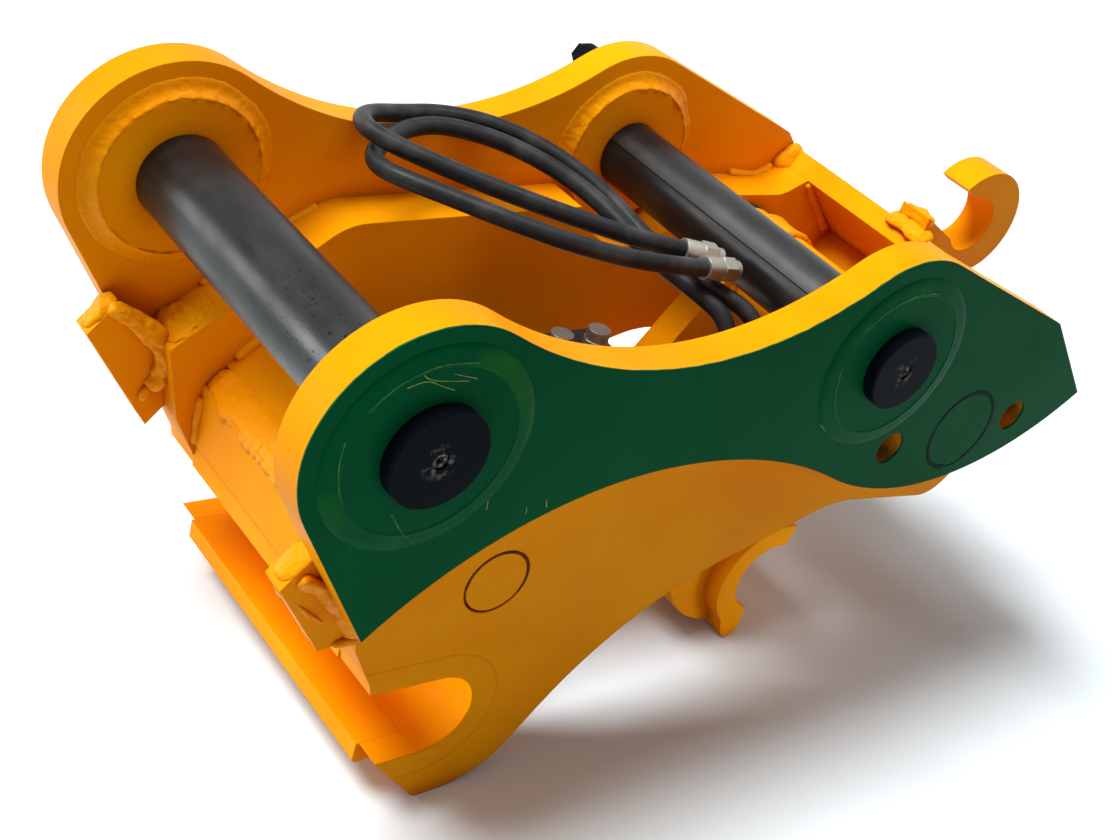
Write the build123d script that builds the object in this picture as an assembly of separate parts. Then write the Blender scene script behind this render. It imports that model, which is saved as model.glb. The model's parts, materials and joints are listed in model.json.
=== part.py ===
"""Hydraulic quick coupler for an excavator: welded frame, moving hook and its cylinder.

Millimetres. The origin is on the stick pin's axis, at mid-width. +X runs from the stick pin
to the link pin, +Y along the pins to the far side, +Z up.
"""
import os
from math import atan2, cos, degrees, hypot, radians, sin, sqrt, tan

from build123d import *

# Main sizes of the frame
pin_spacing = 487.0
overall_width = 446.0
upper_plate_t = 35.0
lower_plate_t = 50.0
stick_pin_d = 80.0
link_pin_d = 70.0
seat_contact = 0.05

# Upper side plates
stick_lobe_r = 101.0
link_lobe_r = 104.0
waist_r = 360.0
shoulder_x, shoulder_z = 727.0, 11.0
rear_x, rear_z = 821.0, -85.0
belly_x, belly_z = 609.0, -158.5
belly_front_r = 303.0
arch_x, arch_z = 245.0, -66.5
arch_front_r = 380.0
front_tip_x = -19.0

# Pin bosses and the weld rings round them
boss_r = 72.0
boss_proud = 3.0
boss_inner_proud = 10.0
boss_weld_w = 16.0
boss_weld_inner_w = 12.0
boss_weld_far_w = 7.0
boss_weld_h = 3.0
weld_profile = ((0.0, 0.0), (0.12, 0.7), (0.35, 1.0), (0.65, 1.0), (0.88, 0.7), (1.0, 0.0))

# Pin ends: discs on the near side, bolted flags on the far side
stick_cap_r = 41.5
link_cap_r = 39.0
cap_t = 12.3
cap_edge = 1.5
cap_screw_d = 8.0
cap_screw_head_r = 6.5
cap_screw_head_t = 8.0
cap_screw_socket_r = 3.4
cap_screw_socket_depth = 4.0
cap_screw_recess = 2.0
cap_screw_play = 0.5
cap_screw_grip = 25.0
flag_t = 12.0
flag_disc_r = 52.0
flag_ear_r = 15.0
flag_reach = 88.0
stick_flag_angle = -35.0
link_flag_angle = 115.0
flag_bolt_d = 16.0
flag_bolt_head_r = 11.0
flag_bolt_head_t = 10.0
flag_bolt_grip = 30.0

# Front jaw
jaw_x, jaw_z = 98.0, -322.0
jaw_r = 42.0
jaw_plate_t = 25.0
jaw_lip_x = 28.0
jaw_nose_x, jaw_nose_rise = 49.0, 6.0
jaw_floor_drop = 4.0
mouth_run = 60.0
lip_front_x = 50.0
lip_chamfer = 3.0
lip_depth = 44.0
lip_h = 22.5
lip_inset = 27.0
lip_rise = 1.5
rest_z = -421.0

# Front cross member and stop plates
front_wall_x = 26.0
front_wall_t = 20.0
front_wall_top = -187.0
front_slope_rise = 18.0
front_slope_angle = 38.0
front_slope_length = 80.0
front_weld_r = 3.0
front_weld_bulge = 4.0
stop_plate_t = 24.0
stop_top_x, stop_top_z = -74.0, -137.0
stop_peak_x, stop_peak_z = -52.0, -112.0
stop_lean = 0.613
stop_back_rise = 4.0
stop_near_bottom_z = -208.0
stop_far_bottom_z = -241.0

# Lower side plates: outline corners that nothing else sets
lower_top_front_x, lower_top_front_z = -10.0, -146.0
lower_top_z = -34.0
lower_top_start_x, lower_top_start_r = 145.0, 60.0
lower_top_rear_x = 610.0
lower_dip_x, lower_dip_z, lower_dip_r = 692.0, -39.0, 40.0
lower_nose_x, lower_nose_z, lower_nose_r = 6.0, -222.0, 8.0
lower_jaw_top_z, lower_jaw_top_r = -265.0, 6.0
lower_toe_x, lower_toe_r = 103.0, 10.0
lower_under_x, lower_under_r = 170.0, 85.0
lower_throat_x, lower_throat_z = 292.0, -262.0
lower_throat_r = 350.0
lower_flat_x, lower_flat_z = 536.0, -190.0
lower_flat_r = 130.0
lower_bump_z = -216.0
lower_bump_r = 40.0
boss_relief = 14.0

# Rear
rear_wall_t = 25.0
rear_wall_drop = 24.0
rear_guard_t = 11.5
rear_guard_run = 80.0
lift_hook_t = 40.0
lift_throat_x, lift_throat_z = 824.0, 1.0
lift_throat_r = 32.0
lift_back_x = 836.0
lift_outer_r = 61.0
lift_tip_x, lift_tip_z = 790.0, 47.0
lift_mouth_x, lift_mouth_z = 777.0, -4.0
lift_lip_x, lift_lip_z = 804.0, 38.0
lift_foot_x, lift_foot_z = 746.0, 14.0
lift_root_x, lift_root_z = 858.0, -56.0
lift_foot_short = 22.0

# Safety pin holes: one locks the hook, the other parks the pin
safety_pin_d = 34.0
lock_hole_x, lock_hole_z = 534.0, -102.0
park_hole_x, park_hole_z = 716.0, -96.0

# Hook
hook_x, hook_z = 638.0, -100.0
hook_shaft_d = 70.0
hook_bush_t = 5.0
hook_bush_length = 50.0
hook_hub_r = 54.0
hook_play = 0.06
hook_cheek_inset = 25.0
hook_cheek_t = 35.0
hook_boss_r = 58.0
seat_x, seat_z = 565.0, -346.0
seat_r = 41.2
saddle_t = 25.0
saddle_gap = 15.0
saddle_top_angle = 72.5
saddle_end_angle = 250.0
saddle_tip_x, saddle_tip_r = 537.5, 13.0
saddle_tip_spread = 25.0
heel_x, heel_z = 540.0, -310.0
heel_r = 100.0
hook_front_t = 18.0
hook_front_from, hook_front_mid, hook_front_to = 175.0, 215.0, 255.0
shaft_plug_r = 43.0
shaft_plug_t = 14.0
plug_gap = 1.6
washer_t, washer_gap = 9.5, 0.5

# Cylinder that swings the hook
base_pin_x, base_pin_z = 130.0, -183.0
base_pin_d = 50.0
base_plug_r = 29.5
base_plug_t = 10.0
base_plug_gap = 2.5
lug_t = 25.0
lug_r = 40.0
lug_gap = 2.0
lug_foot_spread = 20.0
base_eye_w = 60.0
base_eye_r = 38.0
base_neck_r = 28.0
rod_pin_x, rod_pin_z = 600.0, -195.0
rod_pin_d = 44.0
rod_eye_w = 54.0
rod_eye_r = 35.0
rod_eye_play = 2.4
rod_ear_r = 40.0
rod_ring_t = 6.0
rod_ring_w = 6.0
rod_pin_overhang = 3.0
pin_chamfer = 2.0
barrel_r = 45.0
bore_r = 37.5
rod_r = 22.5
barrel_start = 44.0
barrel_wall_end = 20.0
barrel_length = 252.0
head_t = 34.0
head_r = 49.0
wiper_t = 6.0
head_spigot = 16.0
head_spigot_play = 0.02
guide_t = 3.0
wiper_w = 6.0
piston_t = 32.0
piston_from_head = 42.0
rod_tail_r = 16.5
seal_w = 5.0
seal_depth = 4.0
seal_inset = 7.0
slide_play = 0.05
valve_from_base = 190.0
valve_length = 84.0
valve_w = 62.0
valve_h = 46.0
valve_sink = 6.0
valve_round = 4.0
port_spacing = 44.0
port_r = 11.0
port_h = 20.0
port_nut_r, port_nut_h = 13.2, 9.0

# Hoses: a bracket inside the near plate, two bulkhead fittings, and the loop they feed
hose_d = 17.0
hose_arc_share = 0.45
hose_rise = 30.6
hose_bracket_x, hose_bracket_z = 428.0, -112.0
hose_bracket_t = 10.0
hose_bracket_edge = 18.0
hose_bracket_round = 12.0
hose_gusset_t, hose_gusset_h = 8.0, 36.0
hose_port_inset = 32.0
hose_port_spacing = 42.0
bulkhead_r = 8.0
bulkhead_nut_r, bulkhead_nut_h = 13.5, 8.0
bulkhead_stub = 10.0
ferrule_r, ferrule_length = 11.0, 20.0
end_nut_r, end_nut_length = 11.0, 14.0
end_cap_r, end_cap_length = 9.5, 8.0
open_hose_route = [
    (443, -88, -26), (422, -52, -18), (403, -10, -14), (394, 34, -4), (384, 76, 10),
    (366, 117, 23), (337, 152, 34), (300, 176, 43), (257, 196, 44.4), (213, 197, 44.4),
    (180, 187, 51), (154, 169, 57), (146, 145, 58), (160, 120, 54), (196, 90, 46),
    (246, 48, 37), (302, 10, 28), (352, -16, 19), (390, -27, 13)]
close_hose_route = [
    (410, -88, -27), (398, -57, -17), (381, -16, -9), (372, 28, 2), (361, 68, 14),
    (341, 106, 25), (311, 140, 34), (277, 162, 40), (244, 176, 42.5), (210, 174, 41.5),
    (179, 160, 38), (153, 139, 35), (146, 112, 36), (158, 84, 38), (184, 48, 38),
    (216, 8, 36), (258, -28, 31), (310, -49, 23), (358, -56, 16), (392, -57, 11)]

# Values worked out from the sizes above
side_y = overall_width / 2
inner_y = side_y - upper_plate_t
clear_y = inner_y - lower_plate_t
floor_z = jaw_z - jaw_r
lip_half = inner_y - lip_inset
hook_hub_half = clear_y - washer_t - washer_gap
hook_cheek_out = hook_hub_half - hook_cheek_inset
saddle_half = clear_y - saddle_gap
rod_length = hypot(rod_pin_x - base_pin_x, rod_pin_z - base_pin_z)
rod_angle = degrees(atan2(rod_pin_z - base_pin_z, rod_pin_x - base_pin_x))


def slab(face, y_low, y_high):
    """Thicken an outline, drawn in X and Z, from y_low to y_high."""
    return Pos(0, y_high, 0) * extrude(Plane.XZ * face, amount=y_high - y_low)


def both_sides(face, y_near, y_far):
    """The same slab on the near and the far side, as two solids."""
    return slab(face, -y_far, -y_near), slab(face, y_near, y_far)


def disc(x, z, r):
    return Pos(x, z) * Circle(r)


def ring(x, z, r_out, r_in):
    return disc(x, z, r_out) - disc(x, z, r_in)


def outline(*corners):
    """A closed outline from (x, z) or (x, z, radius) corners."""
    face = make_face(Polyline([c[:2] for c in corners], close=True))
    for x, z, r in [c for c in corners if len(c) == 3]:
        corner = face.vertices().sort_by_distance((x, z))[0]
        face = fillet(corner, r)
    return face


def polar(x, z, r, angle):
    return (x + r * cos(radians(angle)), z + r * sin(radians(angle)))


def tangent_point(x, z, cx, cz, r, side):
    """Where a line from (x, z) touches the circle; side is +1 or -1."""
    reach = hypot(cx - x, cz - z)
    turn = side * degrees(atan2(r, sqrt(reach**2 - r**2)))
    return polar(x, z, sqrt(reach**2 - r**2), degrees(atan2(cz - z, cx - x)) + turn)


def touch_point(ax, az, ar, bx, bz, br):
    """Where two circles that touch from outside meet."""
    share = ar / (ar + br)
    return (ax + (bx - ax) * share, az + (bz - az) * share)


def arc_about(cx, cz, start, through_angle, end):
    """An arc about (cx, cz) from start to end, by way of an angle."""
    r = hypot(start[0] - cx, start[1] - cz)
    return ThreePointArc(start, polar(cx, cz, r, through_angle), end)


def group(*solids):
    return Compound(children=list(solids))


def save(shape, node):
    export_step(shape, f"parts/{node}.step")


def upper_outline():
    """Waisted side plate: a lobe round each pin, a belly under the hook shaft, an arch between."""
    d_stick = waist_r + stick_lobe_r
    d_link = waist_r + link_lobe_r
    waist_x = (d_stick**2 - d_link**2 + pin_spacing**2) / (2 * pin_spacing)
    waist_z = sqrt(d_stick**2 - waist_x**2)
    stick_touch = touch_point(0, 0, stick_lobe_r, waist_x, waist_z, waist_r)
    link_touch = touch_point(pin_spacing, 0, link_lobe_r, waist_x, waist_z, waist_r)
    shoulder = (shoulder_x, shoulder_z)
    shoulder_touch = tangent_point(shoulder_x, shoulder_z, pin_spacing, 0, link_lobe_r, -1)
    rear = (rear_x, rear_z)
    belly = (belly_x, belly_z)
    rise = rear_z - belly_z
    belly_rear_r = ((rear_x - belly_x)**2 + rise**2) / (2 * rise)
    rear_mid = degrees(atan2(rear_z - belly_z - belly_rear_r, rear_x - belly_x)) / 2 - 45
    drop = arch_z - belly_z
    arch_rear_r = ((belly_x - arch_x)**2 + drop**2) / (2 * drop) - belly_front_r
    belly_cz = belly_z + belly_front_r
    arch_cz = arch_z - arch_rear_r
    arch_touch = touch_point(belly_x, belly_cz, belly_front_r, arch_x, arch_cz, arch_rear_r)
    front_cz = arch_z - arch_front_r
    tip = (front_tip_x, front_cz + sqrt(arch_front_r**2 - (front_tip_x - arch_x)**2))
    stick_front = tangent_point(*tip, 0, 0, stick_lobe_r, 1)
    edges = [
        Line(tip, stick_front),
        arc_about(0, 0, stick_front, 135, stick_touch),
        arc_about(waist_x, waist_z, stick_touch, -90, link_touch),
        arc_about(pin_spacing, 0, link_touch, 90, shoulder_touch),
        Line(shoulder_touch, shoulder),
        Line(shoulder, rear),
        arc_about(belly_x, belly_z + belly_rear_r, rear, rear_mid, belly),
        arc_about(belly_x, belly_cz, belly, -100, arch_touch),
        arc_about(arch_x, arch_cz, arch_touch, 80, (arch_x, arch_z)),
        arc_about(arch_x, front_cz, (arch_x, arch_z), 100, tip),
    ]
    return make_face(edges)


def rear_line():
    """Point and unit directions of the rear edge: along it downwards, and outwards."""
    length = hypot(rear_x - shoulder_x, rear_z - shoulder_z)
    along = ((rear_x - shoulder_x) / length, (rear_z - shoulder_z) / length)
    return length, along, (-along[1], along[0])


def rear_point(down, deep):
    """A point on the rear edge, moved down along it and deep into the plate."""
    _, along, out = rear_line()
    x = shoulder_x + along[0] * down - out[0] * deep
    return (x, shoulder_z + along[1] * down - out[1] * deep)


def jaw_opening(grow=0.0):
    """The front jaw's mouth: a round seat open to the front, grown by a wall when asked."""
    top = jaw_z + jaw_r + grow
    bottom = jaw_z - jaw_r - grow
    front = jaw_lip_x - mouth_run
    mouth = outline((jaw_x, top), (front, top + jaw_floor_drop * 2),
                    (front, bottom + jaw_floor_drop), (jaw_x, bottom))
    return disc(jaw_x, jaw_z, jaw_r + grow) + mouth


def lower_outer_outline():
    """Outer edge of the lower side plate with the jaw's lining: nose, throat and rear."""
    wall_in = rear_wall_t
    top_rear = rear_point(rear_wall_drop, wall_in)
    length, _, _ = rear_line()
    low_rear = rear_point(length, wall_in)
    bump_x = low_rear[0] - (low_rear[1] - lower_bump_z)
    return outline(
        (lower_top_front_x, lower_top_front_z),
        (lower_top_start_x, lower_top_z, lower_top_start_r),
        (lower_top_rear_x, lower_top_z),
        (lower_dip_x, lower_dip_z, lower_dip_r),
        top_rear,
        low_rear,
        (bump_x, lower_bump_z, lower_bump_r),
        (lower_flat_x, lower_flat_z, lower_flat_r),
        (lower_throat_x, lower_throat_z, lower_throat_r),
        (lower_under_x, rest_z, lower_under_r),
        (lower_toe_x, rest_z, lower_toe_r),
        (jaw_nose_x, floor_z + jaw_nose_rise),
        (jaw_lip_x, lower_jaw_top_z, lower_jaw_top_r),
        (lower_nose_x, lower_nose_z, lower_nose_r),
    )


def lower_outline():
    """Lower side plate: room for the jaw's lining, and a relief round the link boss."""
    relief = disc(pin_spacing, 0, boss_r + boss_relief)
    return lower_outer_outline() - jaw_opening(jaw_plate_t) - relief


def lip_outline():
    """Bar along the jaw's lower edge, flush with the jaw's floor."""
    top = floor_z + lip_rise
    return outline((lip_front_x, top), (lip_front_x + lip_depth, top),
                   (lip_front_x + lip_depth, top - lip_h), (lip_front_x + lip_chamfer, top - lip_h),
                   (lip_front_x, top - lip_h + lip_chamfer))


def through_holes():
    """Everything that passes through both side plates behind the link pin."""
    return (disc(hook_x, hook_z, hook_shaft_d / 2 + seat_contact)
            + disc(lock_hole_x, lock_hole_z, safety_pin_d / 2)
            + disc(park_hole_x, park_hole_z, safety_pin_d / 2))


def flag_ears():
    """Where the flags' bolts stand, as (x, z)."""
    return (polar(0, 0, flag_reach, stick_flag_angle),
            polar(pin_spacing, 0, flag_reach, link_flag_angle))


def make_side_plates():
    bosses = disc(0, 0, boss_r) + disc(pin_spacing, 0, boss_r)
    upper = both_sides(upper_outline() - bosses - through_holes(), inner_y, side_y)
    plug_pockets = both_sides(disc(hook_x, hook_z, shaft_plug_r + plug_gap),
                              side_y - shaft_plug_t, side_y + 1)
    save(upper[0] - plug_pockets[0], "upper_plate_near")
    tapped = [slab(disc(x, z, flag_bolt_d / 2), side_y - flag_bolt_grip, side_y + 1)
              for x, z in flag_ears()]
    save(upper[1] - plug_pockets[1] - tapped, "upper_plate_far")

    base_hole = disc(base_pin_x, base_pin_z, base_pin_d / 2 + seat_contact)
    lower = both_sides(lower_outline() - through_holes() - base_hole, clear_y, inner_y)
    lip_notch = slab(lip_outline(), -lip_half, lip_half)
    pockets = both_sides(disc(base_pin_x, base_pin_z, base_plug_r + base_plug_gap),
                         inner_y - base_plug_t, inner_y + 1)
    save(lower[0] - pockets[0] - lip_notch, "lower_plate_near")
    save(lower[1] - pockets[1] - lip_notch, "lower_plate_far")


def weld_ring(x, y, outward, width):
    """A raised bead round a boss, on a side plate's face at y."""
    points = [(boss_r + across * width, up * boss_weld_h) for across, up in weld_profile]
    body = revolve(make_face(Polyline(*points, close=True)), Axis.Y, 360)
    if outward < 0:
        body = mirror(body, Plane.XZ)
    return Pos(x, y, 0) * body


def make_bosses():
    pins = {"stick": (0.0, stick_pin_d), "link": (pin_spacing, link_pin_d)}
    for name, (x, d) in pins.items():
        sleeve = ring(x, 0, boss_r, d / 2 + seat_contact)
        near, far = both_sides(sleeve, inner_y - boss_inner_proud, side_y + boss_proud)
        save(near, f"{name}_boss_near")
        save(far, f"{name}_boss_far")
    rings = []
    for x, _ in pins.values():
        rings.append(weld_ring(x, -side_y, -1, boss_weld_w))
        rings.append(weld_ring(x, side_y, 1, boss_weld_far_w))
        rings.append(weld_ring(x, -inner_y, 1, boss_weld_inner_w))
        rings.append(weld_ring(x, inner_y, -1, boss_weld_inner_w))
    save(group(*rings), "boss_weld_rings")


def hexagon_bolt(shank_r, head_r, head_t, grip):
    """Bolt along +Y, with its head's underside at y = 0."""
    head = slab(RegularPolygon(head_r, 6, major_radius=False), 0, head_t)
    return chamfer(head.faces().sort_by(Axis.Y)[-1].edges(), 1.5) + slab(Circle(shank_r), -grip, 0)


def make_pins():
    screws = []
    bolts = []
    face_y = side_y + boss_proud
    ends = (("stick", 0.0, stick_pin_d, stick_cap_r), ("link", pin_spacing, link_pin_d, link_cap_r))
    for (name, x, d, cap_r), (ear_x, ear_z) in zip(ends, flag_ears()):
        screw_r = cap_screw_d / 2
        pin = slab(disc(x, 0, d / 2), -face_y, face_y)
        pin -= slab(disc(x, 0, screw_r), -face_y, -face_y + cap_screw_grip)
        save(chamfer(pin.edges().filter_by(GeomType.CIRCLE).sort_by(Axis.Y)[-1], 2),
             f"{name}_pin")

        top_y = -face_y - cap_t
        head_y = top_y + cap_screw_recess
        seat_y = head_y + cap_screw_head_t
        cap = slab(disc(x, 0, cap_r), top_y, -face_y)
        cap = chamfer(cap.edges().filter_by(GeomType.CIRCLE).sort_by(Axis.Y)[0], cap_edge)
        cap -= slab(disc(x, 0, screw_r), top_y, -face_y)
        cap -= slab(disc(x, 0, cap_screw_head_r + cap_screw_play), top_y, seat_y)
        save(cap, f"{name}_pin_cap")
        socket = Pos(x, 0) * RegularPolygon(cap_screw_socket_r, 6)
        head = slab(disc(x, 0, cap_screw_head_r), head_y, seat_y)
        head -= slab(socket, head_y, head_y + cap_screw_socket_depth)
        screws.append(head + slab(disc(x, 0, screw_r), seat_y, -face_y + cap_screw_grip))

        plate = make_hull((disc(x, 0, flag_disc_r) + disc(ear_x, ear_z, flag_ear_r)).edges())
        flag = slab(plate, face_y, face_y + flag_t)
        flag += slab(disc(ear_x, ear_z, flag_ear_r) - disc(x, 0, boss_r + boss_weld_far_w),
                     side_y, face_y)
        save(flag - slab(disc(ear_x, ear_z, flag_bolt_d / 2), side_y, face_y + flag_t),
             f"{name}_pin_flag")
        bolt = hexagon_bolt(flag_bolt_d / 2, flag_bolt_head_r, flag_bolt_head_t,
                            flag_t + boss_proud + flag_bolt_grip)
        bolts.append(Pos(ear_x, face_y + flag_t, ear_z) * bolt)
    save(group(*screws), "pin_cap_screws")
    save(group(*bolts), "pin_flag_bolts")


def front_slope_start():
    return (front_wall_x + front_wall_t, front_wall_top + front_slope_rise)


def front_slope_outline(thick):
    """Sloping top plate of the front cross member, from the front wall's top corner."""
    start = front_slope_start()
    end = polar(*start, front_slope_length, front_slope_angle)
    under = front_slope_angle - 90
    return outline(start, end, polar(*end, thick, under), polar(*start, thick, under))


def stop_outline(bottom_z):
    """Stop plate ahead of the lower plate; its front edge runs beside the upper plate's."""
    front_bottom = (stop_top_x + (stop_top_z - bottom_z) * stop_lean, bottom_z)
    plate = outline((stop_top_x, stop_top_z), front_bottom,
                    (lower_nose_x, max(bottom_z + stop_back_rise, lower_nose_z)),
                    (lower_nose_x, lower_top_front_z),
                    (lower_top_front_x, lower_top_front_z), (stop_peak_x, stop_peak_z))
    return plate - lower_outline()


def make_front():
    """Jaw lining, lip bar, front cross member and stop plates."""
    reach = 3 * (jaw_r + jaw_plate_t)
    upper_half = Pos(jaw_lip_x, jaw_z) * Rectangle(reach, reach, align=(Align.MIN, Align.MIN))
    lower_half = Pos(lip_front_x + lip_depth, jaw_z) * Rectangle(
        reach, reach, align=(Align.MIN, Align.MAX))
    lining = (jaw_opening(jaw_plate_t) - jaw_opening()) & (upper_half + lower_half)
    end_face = (jaw_opening(jaw_plate_t) - jaw_opening()) & lower_outer_outline()
    ends = both_sides(end_face, clear_y, inner_y)
    plate = slab(lining, -clear_y, clear_y) + ends[0] + ends[1]
    save(plate - slab(lip_outline(), -lip_half, lip_half), "jaw_plate")
    save(slab(lip_outline() - jaw_opening(), -lip_half, lip_half), "jaw_lip")

    wall_foot = jaw_z + jaw_r
    wall = outline((front_wall_x, wall_foot), (front_wall_x + front_wall_t, wall_foot),
                   (front_wall_x + front_wall_t, front_wall_top), (front_wall_x, front_wall_top))
    save(slab(wall - jaw_opening(jaw_plate_t), -clear_y, clear_y), "front_wall")
    slope = front_slope_outline(front_wall_t)
    save(slab(slope, -clear_y, clear_y), "front_top_plate")
    over = front_slope_start()
    bulge = ((front_wall_x + over[0]) / 2 - front_weld_bulge,
             (front_wall_top + over[1]) / 2 + front_weld_bulge)
    bead = make_hull((disc(front_wall_x, front_wall_top, front_weld_r) + disc(*bulge, front_weld_r)
                      + disc(*over, front_weld_r)).edges())
    save(slab(bead - wall - slope, -clear_y, clear_y), "front_weld_bead")

    save(slab(stop_outline(stop_near_bottom_z), -inner_y, -inner_y + stop_plate_t),
         "stop_plate_near")
    save(slab(stop_outline(stop_far_bottom_z), inner_y - stop_plate_t, inner_y),
         "stop_plate_far")


def lift_hook_outline():
    """C-shaped hook, open to the front; its foot seats on the rear wall's outer face."""
    body = disc(lift_back_x, lift_throat_z, lift_outer_r)
    length, _, _ = rear_line()
    foot = outline((lift_foot_x, lift_foot_z), (lift_throat_x, lift_throat_z - lift_throat_r),
                   (lift_root_x, lift_root_z), rear_point(length - lift_foot_short, 0),
                   rear_point(rear_wall_drop, 0))
    mouth = outline((lift_foot_x, lift_foot_z), (lift_mouth_x, lift_mouth_z),
                    (lift_throat_x, lift_throat_z - lift_throat_r),
                    (lift_throat_x, lift_throat_z + lift_throat_r),
                    (lift_lip_x, lift_lip_z), (lift_tip_x, lift_tip_z),
                    (lift_foot_x, lift_throat_z + lift_outer_r))
    throat = disc(lift_throat_x, lift_throat_z, lift_throat_r)
    return (body - mouth - throat) + (foot - throat)


def guard_outline():
    """Plate inside the lower plates' rear-lower edge, from the rear wall's foot forward."""
    length, _, _ = rear_line()
    foot = rear_point(length, rear_wall_t)
    end = (foot[0] - rear_guard_run, foot[1] - rear_guard_run)
    return outline(foot, end, (end[0] - rear_guard_t, end[1] + rear_guard_t),
                   (foot[0] - rear_guard_t, foot[1] + rear_guard_t))


def make_rear():
    length, _, _ = rear_line()
    wall = outline(rear_point(rear_wall_drop, 0), rear_point(length, 0),
                   rear_point(length, rear_wall_t), rear_point(rear_wall_drop, rear_wall_t))
    save(slab(wall, -inner_y, inner_y), "rear_wall")
    save(slab(guard_outline() - wall, -clear_y, clear_y), "rear_guard_plate")
    save(slab(lift_hook_outline(), -lift_hook_t / 2, lift_hook_t / 2), "lifting_hook")


def cheek_outline():
    """Hook cheek: boss round the shaft, ear round the rod pin, rounded heel, hollow for the seat."""
    bodies = (disc(hook_x, hook_z, hook_boss_r) + disc(rod_pin_x, rod_pin_z, rod_ear_r)
              + disc(heel_x, heel_z, heel_r))
    cheek = make_hull(bodies.edges())
    back = seat_r + saddle_t
    top_corner = polar(seat_x, seat_z, back, saddle_top_angle)
    end_corner = polar(seat_x, seat_z, 3 * back, saddle_end_angle)
    shaft_side = (hook_x + hook_boss_r, hook_z)
    away = hook_x + 3 * hook_boss_r
    mouth = outline((seat_x, seat_z), top_corner, shaft_side, (away, hook_z),
                    (away, end_corner[1]), end_corner)
    return cheek - mouth - disc(seat_x, seat_z, back) - saddle_outline()


def saddle_outline():
    """Curved plate that holds the bucket pin, thickened to a tip at its lower end."""
    span = 3 * seat_r
    fan = outline((seat_x, seat_z), polar(seat_x, seat_z, span * 2, saddle_top_angle),
                  polar(seat_x, seat_z, span * 2, 140), polar(seat_x, seat_z, span * 2, 200),
                  polar(seat_x, seat_z, span * 2, saddle_end_angle))
    band = ring(seat_x, seat_z, seat_r + saddle_t, seat_r) & fan
    root_angle = saddle_end_angle - saddle_tip_spread
    root = outline(polar(seat_x, seat_z, seat_r, saddle_end_angle),
                   polar(seat_x, seat_z, seat_r, root_angle),
                   polar(seat_x, seat_z, seat_r + saddle_t, root_angle))
    tip_end = disc(saddle_tip_x, rest_z + saddle_tip_r, saddle_tip_r)
    tip = make_hull((root + tip_end).edges())
    return band + (tip - disc(seat_x, seat_z, seat_r))


def make_hook():
    shaft_r = hook_shaft_d / 2
    bush_r = shaft_r + hook_bush_t
    cheek_in = hook_cheek_out - hook_cheek_t
    hub_hole = disc(hook_x, hook_z, hook_hub_r)
    rod_hole = disc(rod_pin_x, rod_pin_z, rod_pin_d / 2 + seat_contact)
    cheeks = both_sides(cheek_outline() - hub_hole - rod_hole, cheek_in, hook_cheek_out)
    save(cheeks[0], "hook_cheek_near")
    save(cheeks[1], "hook_cheek_far")
    save(slab(ring(hook_x, hook_z, hook_hub_r, bush_r), -hook_hub_half, hook_hub_half),
         "hook_hub")
    bush = ring(hook_x, hook_z, bush_r, shaft_r + hook_play)
    save(group(*both_sides(bush, hook_hub_half - hook_bush_length, hook_hub_half)),
         "hook_bushes")
    save(slab(saddle_outline(), -saddle_half, saddle_half), "hook_saddle")
    front = (ring(heel_x, heel_z, heel_r, heel_r - hook_front_t)
             & outline((heel_x, heel_z), polar(heel_x, heel_z, 2 * heel_r, hook_front_from),
                       polar(heel_x, heel_z, 2 * heel_r, hook_front_mid),
                       polar(heel_x, heel_z, 2 * heel_r, hook_front_to)))
    save(slab(front - disc(seat_x, seat_z, seat_r + saddle_t), -cheek_in, cheek_in),
         "hook_front_plate")

    save(slab(disc(hook_x, hook_z, shaft_r), -side_y + shaft_plug_t, side_y - shaft_plug_t),
         "hook_shaft")
    save(group(*both_sides(disc(hook_x, hook_z, shaft_plug_r), side_y - shaft_plug_t, side_y)),
         "hook_shaft_plugs")
    washer = ring(hook_x, hook_z, hook_hub_r, shaft_r + seat_contact)
    save(group(*both_sides(washer, hook_hub_half + washer_gap, clear_y)), "hook_thrust_washers")

    pin_half = hook_cheek_out + rod_ring_t + rod_pin_overhang
    pin = slab(disc(rod_pin_x, rod_pin_z, rod_pin_d / 2), -pin_half, pin_half)
    save(chamfer(pin.edges().filter_by(GeomType.CIRCLE), pin_chamfer), "rod_pin")
    keeper = ring(rod_pin_x, rod_pin_z, rod_pin_d / 2 + rod_ring_w, rod_pin_d / 2 + seat_contact)
    save(group(*both_sides(keeper, hook_cheek_out, hook_cheek_out + rod_ring_t)),
         "rod_pin_rings")


def along_cylinder(shape):
    """Put a shape, made along +X from the base pin, on the cylinder's axis."""
    return Pos(base_pin_x, 0, base_pin_z) * Rot(0, -rod_angle, 0) * shape


def round_bar(start, end, r_out, r_in=0.0):
    """A bar or tube along the cylinder, from start to end."""
    section = Circle(r_out) - Circle(r_in) if r_in else Circle(r_out)
    return Pos(start, 0, 0) * extrude(Plane.YZ * section, amount=end - start)


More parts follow.
